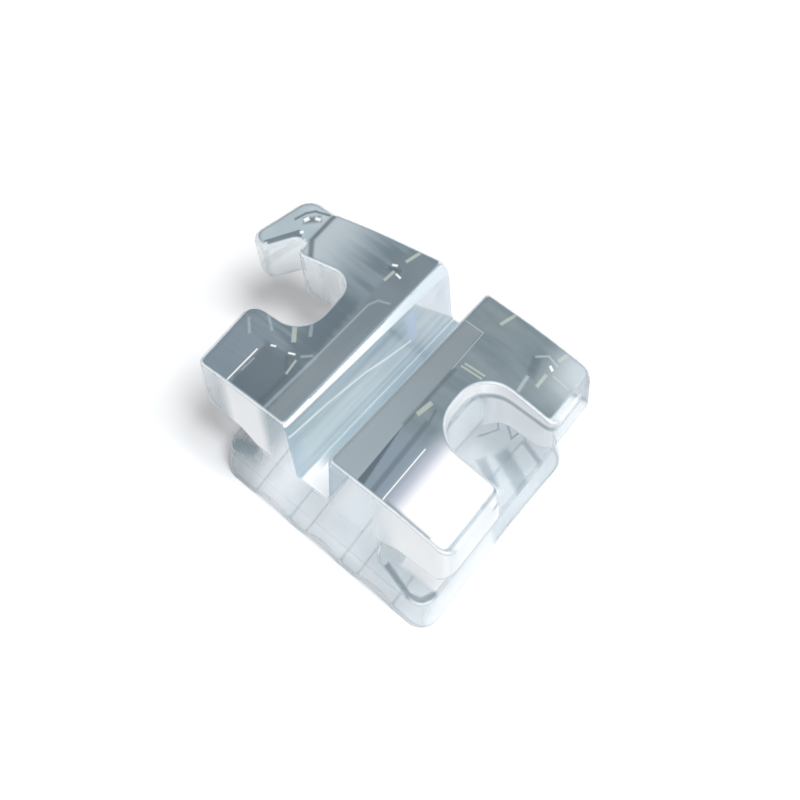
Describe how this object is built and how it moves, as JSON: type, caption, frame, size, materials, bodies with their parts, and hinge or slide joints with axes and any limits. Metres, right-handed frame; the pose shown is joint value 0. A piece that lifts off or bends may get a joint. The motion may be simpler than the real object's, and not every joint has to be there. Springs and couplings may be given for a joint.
{
  "type": "orthodontic bracket",
  "caption": "Clear one-piece orthodontic bracket with an archwire slot, undercut tie-wings, a traction hook and a curved bonding base.",
  "frame": {"origin": "middle of the bounding box, at the height of the feet of the bonding base", "axes": "+X along the archwire slot, +Y across it towards the hooked pair of tie-wings, +Z away from the tooth"},
  "size_m": [0.0038, 0.0054, 0.0026],
  "materials": {
    "clear_crystal": "polished clear sapphire with a faint blue-grey cast"
  },
  "bodies": {
    "root": {"bracket_body": "clear_crystal"}
  },
  "joints": []
}
